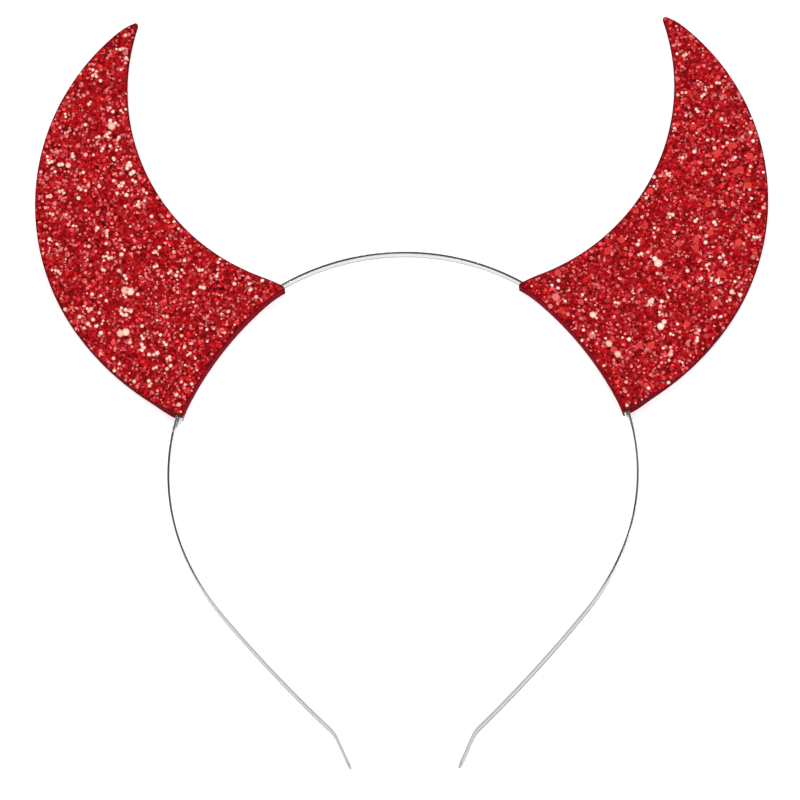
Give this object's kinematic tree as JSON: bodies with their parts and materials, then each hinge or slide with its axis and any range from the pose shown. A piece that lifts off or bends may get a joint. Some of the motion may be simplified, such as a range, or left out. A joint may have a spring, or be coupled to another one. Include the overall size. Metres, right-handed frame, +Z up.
{
  "type": "devil horns headband",
  "caption": "Springy metal headband with flat, inward-curving devil horns of red glitter cloth sleeved over its crown; worn over the head for costume.",
  "frame": {"origin": "on the floor under the middle of the outline's box, with the headband lying on its back", "axes": "+X towards the horn on the right in the picture, +Y from the strip's free ends towards the horns' tips, +Z up out of the horns' front faces"},
  "size_m": [0.212, 0.2216, 0.0076],
  "materials": {
    "spring_steel": "bright nickel plate",
    "glitter_cloth": "coarse red glitter bonded to thin red felt"
  },
  "bodies": {
    "root": {"headband_strip": "spring_steel", "left_horn_front": "glitter_cloth", "left_horn_back": "glitter_cloth", "right_horn_front": "glitter_cloth", "right_horn_back": "glitter_cloth"}
  },
  "joints": []
}
